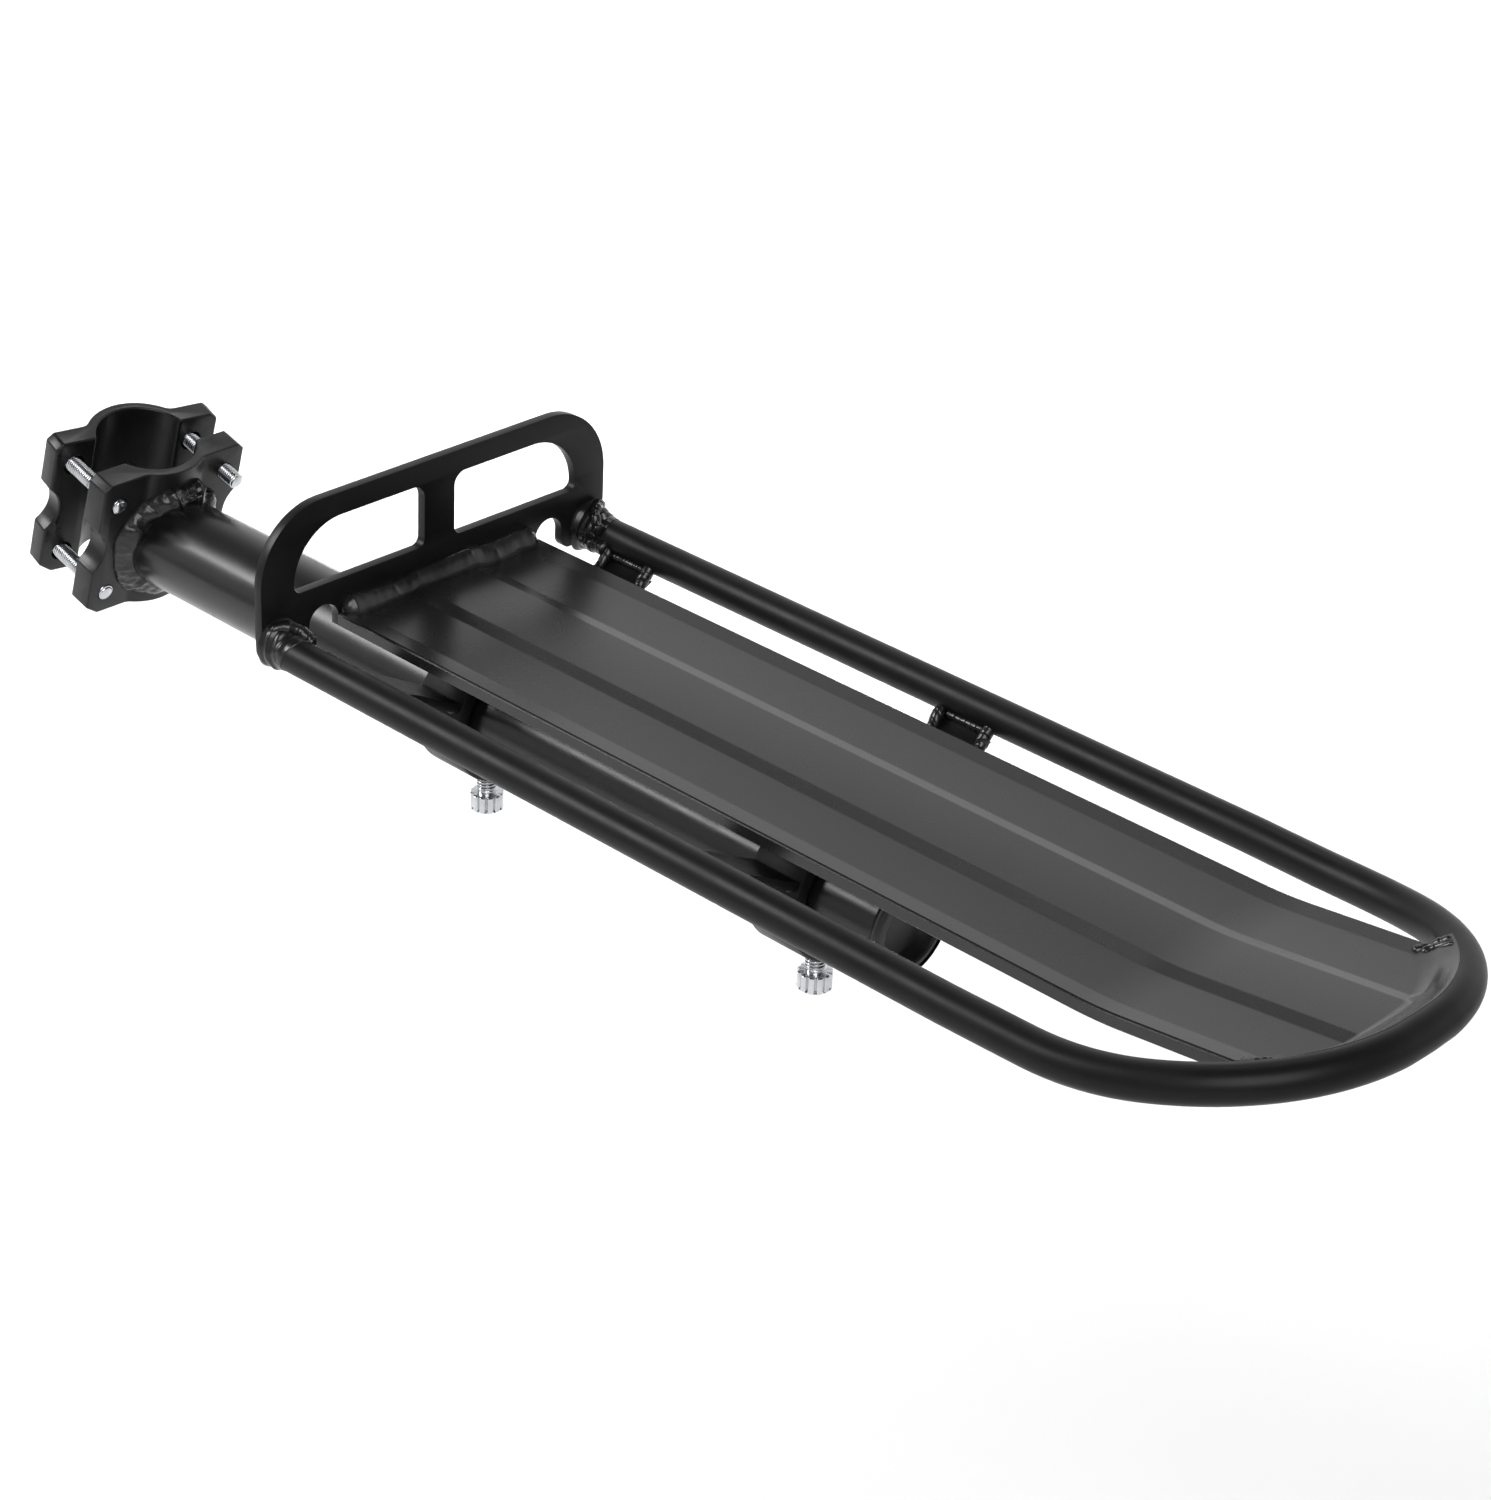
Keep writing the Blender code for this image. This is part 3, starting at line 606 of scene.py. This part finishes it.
rings = [beam_weld_ring(2 * math.pi * k / 420) for k in range(420)]
dress(add_mesh("beam_weld_bead", *loft(rings, closed=True)), "beam_weld", ["beam_weld"], 70.0)


# ---------------------------------------------------------------- bracket

def bracket_loops():
    corner = (BRACKET_HALF - BRACKET_CORNER, BRACKET_TOP - BRACKET_CORNER)
    half = [(0.0, FLANGE_Z), (NOTCH_Y - 5.2, FLANGE_Z), (NOTCH_Y - 5.2, NOTCH_TOP - 5.2)]
    half += arc((NOTCH_Y, NOTCH_TOP - 5.2), 5.2, 180, 0, 20)[1:]
    half += arc((NOTCH_Y + 8.6, RAIL_Z - 1.0), 3.4, 180, 262, 10)
    half += arc((RAIL_Y - 1.0, RAIL_Z), 6.2, 224, 350, 20)
    half += [(BRACKET_HALF, RAIL_Z + 3.0)]
    half += arc(corner, BRACKET_CORNER, 0, 90, 30)
    outside = half + [(-a, b) for a, b in reversed(half) if a > 0]
    inner, outer = WINDOW_Y
    low, high = WINDOW_Z
    small, top_small = 2.6, 4.0
    window = arc((inner + small, low + small), small, 180, 270, 8)
    window += arc((outer - small, low + small), small, 270, 360, 8)
    window += arc((outer - WINDOW_CORNER, high - WINDOW_CORNER), WINDOW_CORNER, 0, 90, 24)
    window += arc((inner + top_small, high - top_small), top_small, 90, 180, 10)
    return [outside, window, [(-a, b) for a, b in reversed(window)]]


bracket = add_mesh(
    "bracket_plate",
    *prism(bracket_loops(), lambda y, z, x: Vector((x, y, z)), BRACKET_X - BRACKET_T, BRACKET_X),
)
soften(bracket, 0.55, 3, 50.0)
dress(bracket, "front_bracket", ["front_bracket"], 30.0)


# ---------------------------------------------------------------- rails

def rail_height(x):
    """The rails' rise above RAIL_Z, from the kink on."""
    slope = math.tan(math.radians(RAIL_KINK_ANGLE))
    along = x - RAIL_KINK_X
    if along <= -RAIL_KINK_HALF:
        return 0.0
    if along < RAIL_KINK_HALF:
        return slope * (along + RAIL_KINK_HALF) ** 2 / (4 * RAIL_KINK_HALF)
    return slope * along


def hoop_line(steps):
    """The hoop's centre line, from the left rail's front end to the right one's: a superellipse in plan."""
    rearward = math.cos(math.radians(RAIL_KINK_ANGLE))
    plan = [(x, RAIL_Y) for x in (BRACKET_X + 0.05, 180.0, 220.0, 260.0, 300.0, 340.0, 380.0)]
    plan += [(RAIL_KINK_X - RAIL_KINK_HALF, HOOP_HALF)]
    for k in range(steps + 1):
        turn = math.pi / 2 * k / steps
        along = HOOP_START + HOOP_REACH * math.sin(turn) ** (2 / HOOP_POWER)
        y = HOOP_HALF * math.cos(turn) ** (2 / HOOP_POWER)
        x = RAIL_KINK_X + (along * rearward if along > 0 else along)
        if x > plan[-1][0] + 0.2:
            plan.append((x, y))
    plan[-1] = (plan[-1][0], 0.0)
    left = [Vector((x, -y, RAIL_Z + rail_height(x))) for x, y in plan]
    return left + [Vector((p.x, -p.y, p.z)) for p in reversed(left[:-1])]


HOOP = hoop_line(40)
hoop = add_mesh("hoop_tube", *sweep(HOOP, RAIL_R, 40))
dress(hoop, "rail_hoop", ["rail_hoop"], 50.0)


def hoop_inside(y, clear):
    """x of the hoop's inner side at y, less clear."""
    shifted = []
    half = [p for p in HOOP if p.y <= 0.01]
    for k, p in enumerate(half):
        ahead = half[min(k + 1, len(half) - 1)] - half[max(k - 1, 0)]
        if k == len(half) - 1:
            ahead = Vector((0, 1, 0))
        inward = Vector((-ahead.y, ahead.x, 0)).normalized()
        shifted.append(p + inward * (RAIL_R + clear))
    for a, b in zip(shifted, shifted[1:]):
        if a.y <= -abs(y) <= b.y:
            return a.x + (b.x - a.x) * (-abs(y) - a.y) / (b.y - a.y)
    return shifted[-1].x


def lug_weld(side, side_name):
    """The heaped weld that runs from the bracket onto a rail's front end, fuller above and inside."""
    rings = []
    count, steps, length = 40, 72, 10.5
    for k in range(count + 1):
        t = k / count
        ring = []
        for s in range(steps):
            turn = 2 * math.pi * s / steps
            inside = math.cos(turn - math.radians(110))
            below = math.exp(-((turn - math.radians(232)) / 0.55) ** 2)
            run = length * (0.80 + 0.20 * inside + 0.12 * below)
            taper = max(0.0, 1 - t) ** 1.5
            spot = Vector((t * length, math.cos(turn) * 5, math.sin(turn) * 5))
            ripple = 0.15 * math.sin(t * run * 2.9 + 1.3 * math.sin(turn * 2)) + lumps(spot, 0.25, 0.8, side)
            swell = (2.1 + 1.0 * inside + 1.5 * below) * taper
            swell += ripple * math.sin(math.pi * min(1.0, t * 1.1 + 0.1)) ** 0.6
            radius = RAIL_R + 0.15 + swell if k < count else RAIL_R - 0.3
            x = BRACKET_X - 0.1 + t * run
            y = side * (RAIL_Y + math.cos(turn) * radius)
            ring.append(Vector((x, y, RAIL_Z + math.sin(turn) * radius)))
        rings.append(ring)
    name = f"lug_weld_{side_name}"
    dress(add_mesh(name + "_heap", *loft(rings)), name, [name], 70.0)
    # A second run along the rail's inner side, and a ridge laid over the top
    inner_run = [
        Vector((BRACKET_X + 2.5 + k * 0.23, side * (RAIL_Y - 5.0), RAIL_Z - 1.9)) for k in range(46)
    ]
    marks = ((0.6, 3.5, 6.2), (2.6, 0.5, 6.9), (5.0, -2.8, 5.9), (8.2, -4.4, 3.6), (9.6, -4.8, 1.8))
    ridge = smooth_line(
        [Vector((BRACKET_X + x, side * (RAIL_Y + y), RAIL_Z + z)) for x, y, z in marks], 14
    )
    for part, line, out, size in (
        ("run", inner_run, (0, -side * 0.8, 0.1), 2.2), ("ridge", ridge, (0.2, -side * 0.3, 0.9), 1.8),
    ):
        rings = weld_rings(line, Vector(out).normalized(), size, 18, 2.8, 7.0 + side, 0.4)
        dress(add_mesh(f"{name}_{part}", *loft(rings)), name, (), 70.0)


for side, side_name in SIDES:
    lug_weld(side, side_name)


# ---------------------------------------------------------------- deck

def deck_rise(x):
    """The deck's rise past its kink, blended over a few millimetres."""
    slope = math.tan(math.radians(DECK_KINK_ANGLE))
    along, blend = x - DECK_KINK_X, 7.0
    if along <= -blend:
        return 0.0
    if along < blend:
        return slope * (along + blend) ** 2 / (4 * blend)
    return slope * along


def rounded(line, radius, steps=3):
    """An open line with its corners rounded."""
    out = [line[0]]
    for before, here, after in zip(line, line[1:], line[2:]):
        b, h, a = Vector(before), Vector(here), Vector(after)
        turn = (h - b).angle(a - h, 0)
        reach = min(radius, (h - b).length * 0.45, (a - h).length * 0.45)
        if turn < 0.02:
            out.append(here)
            continue
        first, last = h + (b - h).normalized() * reach, h + (a - h).normalized() * reach
        for s in range(steps + 1):
            t = s / steps
            p = first * (1 - t) ** 2 + h * 2 * t * (1 - t) + last * t * t
            out.append((p.x, p.y))
    return out + [line[-1]]


def deck_section():
    """The deck's closed outline: over the top from left to right, then back underneath."""
    foot, edge = DECK_EDGE
    top, base = DECK_CENTRE
    land, rim = DECK_LAND_Z, DECK_LAND_Z + DECK_EDGE_RISE
    marks = [(edge, rim), (foot, land), (base, land), (top, land + DECK_CENTRE_RISE)]
    upper = [
        (DECK_HALF - 0.3, FLANGE_Z), (DECK_HALF, FLANGE_Z + 0.3), (DECK_HALF, rim - 0.55),
        (DECK_HALF - 0.12, rim - 0.45),
    ]
    upper += rounded([
        (DECK_HALF - 0.5, rim - 0.55), (DECK_HALF - 0.7, rim - 0.05), *marks, (0.0, land + DECK_CENTRE_RISE),
    ], 0.3)
    inner = DECK_HALF - DECK_T
    lower = [(0.0, land + DECK_CENTRE_RISE - DECK_T)] + [(a, b - DECK_T) for a, b in reversed(marks[1:])]
    lower += [(inner - 0.6, land - DECK_T), (inner, land - DECK_T - 0.6), (inner, FLANGE_Z + 0.2)]
    lower += [(inner + 0.3, FLANGE_Z)]
    over = [(-a, b) for a, b in upper] + upper[-2::-1]
    return over + lower[::-1] + [(-a, b) for a, b in lower[1:]]


section = deck_section()
stations = [BRACKET_X + 0.1, 150.0, 170.0, 200.0, 240.0, 280.0, 320.0, 360.0, 390.0, 400.0]
stations += [DECK_KINK_X + k * 2.0 for k in range(-3, 5)] + [425.0, 435.0]
rings = [[Vector((x, y, z + deck_rise(x))) for y, z in section] for x in stations]
last = []
for y, z in section:
    x = max(hoop_inside(min(abs(y), DECK_HALF - 0.8), DECK_TO_HOOP), 436.0)
    last.append(Vector((x, y, z + deck_rise(x))))
between = [
    [Vector((a.x + (b.x - a.x) * t, a.y, 0)) for a, b in zip(rings[-1], last)] for t in (0.33, 0.66)
]
for ring in between:
    for p, (y, z) in zip(ring, section):
        p.z = z + deck_rise(p.x)
deck = add_mesh("deck_extrusion", *loft(rings + between + [last]))
dress(deck, "deck_plate", ["deck_plate"], 25.0)


def deck_top(x, y):
    """Height of the deck's upper side."""
    top, base = DECK_CENTRE
    foot, edge = DECK_EDGE
    centre = min(max((base - abs(y)) / (base - top), 0.0), 1.0) * DECK_CENTRE_RISE
    side = min(max((abs(y) - foot) / (edge - foot), 0.0), 1.0) * DECK_EDGE_RISE
    return DECK_LAND_Z + centre + side + deck_rise(x)


def front_weld_ring(y):
    """A section of the broad, smooth bead between deck and bracket."""
    wall_leg, floor_leg = FRONT_WELD_LEGS
    ends = math.sqrt(min(1.0, 0.12 + (FRONT_WELD_HALF - abs(y)) / 3.5))
    corner = Vector((BRACKET_X, y, deck_top(BRACKET_X, y)))
    rise = (wall_leg + lumps(Vector((0, y, 8)), 0.085, 1.1) + lumps(Vector((0, y, 2)), 0.3, 0.15)) * ends
    run = (floor_leg + lumps(Vector((0, y, 5)), 0.075, 1.1) + lumps(Vector((0, y, 3)), 0.35, 0.2)) * ends

    def skin(t, here):
        pits = max(0.0, noise.noise(Vector((y * 0.30, t * 1.6, 5.0))) - 0.28)
        return lumps(here, 0.12, 0.2, 6.0) + lumps(here, 0.7, 0.03, 9.0) + 0.7 * pits

    return fillet_ring(corner, UP * rise, Vector((run, 0, 0)), 1.12, skin)


rings = [front_weld_ring(FRONT_WELD_HALF * (2 * k / 260 - 1)) for k in range(261)]
dress(add_mesh("deck_front_bead", *loft(rings)), "deck_front_weld", ["deck_front_weld"], 70.0)


def hoop_stations():
    """(point, direction inwards, deck point) along the hoop, as far as the deck's end reaches."""
    path = hoop_line(150)
    found = []
    for before, here, after in zip(path, path[1:], path[2:]):
        ahead = after - before
        inward = Vector((-ahead.y, ahead.x, 0)).normalized()
        wide = DECK_TO_HOOP + 2.0 + 0.9 * min(max(here.y / 30, -1), 1)
        deck = here + inward * (RAIL_R + wide)
        if abs((here + inward * (RAIL_R + 0.5)).y) <= DECK_HALF - 0.3 and here.x > 430:
            found.append((here, inward, deck))
    return found


def on_hoop(here, inward, lift, skin):
    """A point on the hoop's section, lift degrees up from its inner side."""
    turn = math.radians(lift)
    return here + inward * (skin * math.cos(turn)) + UP * (skin * math.sin(turn))


COVE_STEPS, COVE_LIFT = 16, 66.0


def cove_line(station):
    """The fillet's upper side at one station, from the deck's end up onto the hoop."""
    here, inward, deck = station
    start = Vector((deck.x, deck.y, deck_top(deck.x, deck.y) + 0.03))
    stop = on_hoop(here, inward, COVE_LIFT, RAIL_R + 0.08)
    pull = (stop - start).length * 0.85
    leave = (UP * (-inward.x * math.tan(math.radians(DECK_KINK_ANGLE))) - inward).normalized()
    lift = math.radians(COVE_LIFT)
    arrive = UP * math.cos(lift) - inward * math.sin(lift)
    line = []
    for s in range(COVE_STEPS + 1):
        t = s / COVE_STEPS
        p = start * (2 * t**3 - 3 * t * t + 1) + leave * pull * (t**3 - 2 * t * t + t)
        p += stop * (3 * t * t - 2 * t**3) + arrive * pull * (t**3 - t * t)
        ridge = 0.09 * math.sin(t * 13 + 0.5 * math.sin(here.y * 0.12))
        ridge += lumps(Vector((here.y, t * 5, 0)), 0.11, 0.16, 2.0)
        line.append(p + UP * (ridge * math.sin(t * math.pi)))
    return line


STATIONS = hoop_stations()
rings = []
for station in STATIONS:
    here, inward, _ = station
    upper = cove_line(station)
    rings.append(upper + [
        on_hoop(here, inward, COVE_LIFT + 4, RAIL_R - 1.5), on_hoop(here, inward, 10, RAIL_R - 1.5),
        upper[0] - inward * 0.6 - UP * 1.2, upper[0] - UP * 0.5,
    ])
dress(add_mesh("deck_rear_fillet", *loft(rings)), "deck_rear_weld", ["deck_rear_weld"], 60.0)

# The weld's ends: flattened crescents lapping from the deck's corners over the fillet and onto the hoop
for side, side_name in SIDES:
    order = STATIONS if side < 0 else STATIONS[::-1]
    for k, (skip, size, first, last) in enumerate(((0, 1.25, 0, 15), (3, 1.05, 3, 16), (5, 0.8, 9, 16))):
        marks = []
        for s in range(first, last + 1, 3):
            station = order[skip + round(3.2 * (s / COVE_STEPS) ** 2)]
            marks.append(cove_line(station)[s] - UP * (size * 0.42))
        line = smooth_line(marks, 8)
        rings = weld_rings(line, UP, size, 14, 3.4, 20.0 + k, 0.4)
        dress(add_mesh(f"deck_rear_crescent_{side_name}_{k}", *loft(rings)), "deck_rear_weld", (), 70.0)


# ---------------------------------------------------------------- sleeves, ears and their welds

def sleeve(place, centre):
    """A chamfered collar round the beam, with a hole for its lock bolt."""
    half = SLEEVE_LENGTH / 2
    outer, inner, c = SLEEVE_CLEAR + SLEEVE_WALL, SLEEVE_CLEAR, 0.6
    stations = [
        (-half + c, inner), (-half, inner + c), (-half, outer - c), (-half + c * 0.3, outer - c * 0.3),
        (-half + c, outer), (half - c, outer), (half - c * 0.3, outer - c * 0.3), (half, outer - c),
        (half, inner + c), (half - c, inner),
    ]
    rings = [[Vector((centre + x, y, z)) for y, z in beam_circle(g)] for x, g in stations]
    made = add_mesh(f"{place}_collar", *loft(rings, closed=True))
    top = BEAM_AXIS_Z - BEAM_R
    bottom = top - SLEEVE_CLEAR - SLEEVE_WALL
    hole = cylinder(Vector((centre, 0, 0)), UP, Vector((1, 0, 0)), bottom - 3, top + 1, LOCK_HOLE_R)
    cut(made, [hole])
    dress(made, f"{place}_sleeve", [f"{place}_sleeve"], 35.0)


def ear(place, centre, side, side_name):
    """The bent bar from a collar up to a rail, with its welds."""
    name = f"{place}_ear_{side_name}"
    marks = [(55.0, 28.6), (51.5, 26.8), (43.0, 24.3), (33.7, 20.7), (24.0, 15.4), (17.6, 12.2)]
    line = smooth_line([Vector(p) for p in marks], 5)
    lower = []
    for k, p in enumerate(line):
        ahead = direction_at(line, k)
        drop = Vector((-ahead.y, ahead.x)) if k else Vector((0, -1))
        lower.append(p + drop * EAR_T)
    loop = [(side * p.x, p.y) for p in line + lower[::-1]]
    half = SLEEVE_LENGTH / 2 - 0.5
    made = add_mesh(
        f"{place}_hanger_{side_name}",
        *prism([loop], lambda y, z, x: Vector((x, y, z)), centre - half, centre + half),
    )
    soften(made, 0.4, 2, 50.0)
    dress(made, name, [name], 35.0)

    def weld(part, line, out, radius, steps, ripple, seed, wander=0.22):
        rings = weld_rings(line, out, radius, steps, ripple, seed, wander)
        dress(add_mesh(f"{name}_{part}", *loft(rings)), name, (), 70.0, "weld")

    def straight(y, z):
        return [Vector((centre + (half - 1) * (2 * k / 60 - 1), side * y, z)) for k in range(61)]

    climb = [(54.6, 30.6), (53.0, 29.2), (51.6, 27.6), (50.4, 25.8), (48.6, 24.4)]
    for k, (edge, lean) in enumerate(((-half - 0.2, -0.4), (half + 0.2, 0.4))):
        line = [Vector((centre + edge, side * p.x, p.y)) for p in smooth_line([Vector(p) for p in climb], 10)]
        out = Vector((lean, -side * 0.3, 0.8)).normalized()
        weld(f"weld_{k}", line, out, 1.9, 14, 2.5, 30.0 + k + side, 0.4)
    weld("foot_weld", straight(18.6, 10.0), Vector((0, side * 0.8, -0.5)), 1.3, 12, 1.9, 40.0 + side)
    weld("rail_weld", straight(54.6, 29.3), Vector((0, -side * 0.8, 0.5)), 1.2, 12, 1.9, 50.0 + side)


for place, centre in zip(("front", "rear"), SLEEVE_X):
    sleeve(place, centre)
    for side, side_name in SIDES:
        ear(place, centre, side, side_name)


# ---------------------------------------------------------------- floor, light and camera

def studio_floor():
    corners = ((-1, -1), (1, -1), (1, 1), (-1, 1))
    made = add_mesh(
        "floor", [Vector((a * FLOOR_HALF, b * FLOOR_HALF, FLOOR_Z)) for a, b in corners], [(0, 1, 2, 3)]
    )
    pale = bpy.data.materials.new("pale_floor")
    pale.use_nodes = True
    tree = pale.node_tree
    shader = tree.nodes["Principled BSDF"]
    grain = node(tree, "TexNoise", {"Scale": 1.5, "Detail": 2.0}).outputs["Fac"]
    tone = node(
        tree, "Mix", {"Factor": grain, 6: (0.91, 0.91, 0.91, 1), 7: (0.94, 0.94, 0.94, 1)}, data_type="RGBA"
    )
    tree.links.new(tone.outputs[2], shader.inputs["Base Color"])
    shader.inputs["Roughness"].default_value = 0.9
    shader.inputs["Specular IOR Level"].default_value = 0.1
    made.data.materials.append(pale)


def soft_light(name, towards, distance, size, radiance, aim=(0.22, 0.0, 0.02), spread=180.0):
    """A square soft box, in metres and degrees. towards points from the aim to the light."""
    lamp = bpy.data.lights.new(name, "AREA")
    lamp.size = size
    lamp.energy = radiance * math.pi * size * size
    lamp.spread = math.radians(spread)
    made = bpy.data.objects.new(name, lamp)
    direction = Vector(towards).normalized()
    made.location = Vector(aim) + direction * distance
    made.rotation_euler = direction.to_track_quat("Z", "Y").to_euler()
    bpy.context.scene.collection.objects.link(made)


def sky():
    """Light all round: brightest low down on the far side, dim overhead and on the near side."""
    world = bpy.data.worlds.new("studio")
    bpy.context.scene.world = world
    world.use_nodes = True
    tree = world.node_tree
    background = tree.nodes["Background"]
    direction = node(tree, "TexCoord").outputs["Generated"]
    height = node(tree, "SeparateXYZ", {"Vector": direction}).outputs["Z"]
    ramp = node(tree, "ValToRGB", {"Fac": height})
    stops = ((0.0, 1.1), (0.30, 1.05), (0.47, 0.90), (0.58, 0.62), (0.70, 0.22), (1.0, 0.08))
    elements = ramp.color_ramp.elements
    while len(elements) < len(stops):
        elements.new(0.5)
    for element, (at, level) in zip(elements, stops):
        element.position = at
        element.color = (level, level, level * 1.01, 1)
    tree.links.new(ramp.outputs["Color"], background.inputs["Color"])
    facing = node(
        tree, "VectorMath", {0: direction, 1: (-0.67, 0.74, 0.0)}, operation="DOT_PRODUCT"
    ).outputs["Value"]
    strength = node(tree, "MapRange", {
        "Value": facing, "From Min": -0.45, "From Max": 0.35, "To Min": 0.38, "To Max": 1.05,
    }).outputs["Result"]
    tree.links.new(strength, background.inputs["Strength"])


studio_floor()
sky()
soft_light("front_left_box", (-0.59, -0.574, 0.567), 2.2, 0.8, 13.0)
soft_light("fill_box", (1.0, -0.9, 1.2), 2.6, 1.7, 4.6)
soft_light("far_floor_wash", (0, 0, 1), 1.9, 1.8, 3.0, aim=(-0.95, 1.45, -0.33), spread=80.0)

# Camera, in metres: its place, and its right, up and viewing directions
lens = bpy.data.cameras.new("camera")
lens.lens = 84.35
lens.sensor_width = 36.0
camera = bpy.data.objects.new("camera", lens)
right, upward, ahead = (
    Vector(v) for v in ((0.7215, 0.6910, 0.0455), (-0.3623, 0.3207, 0.8752), (-0.5901, 0.6479, -0.4816))
)
turn = Matrix((right, upward, -ahead)).transposed().to_4x4()
camera.matrix_world = Matrix.Translation((0.80154, -0.59381, 0.47036)) @ turn
bpy.context.scene.collection.objects.link(camera)
bpy.context.scene.camera = camera
bpy.context.scene.view_settings.view_transform = "Standard"
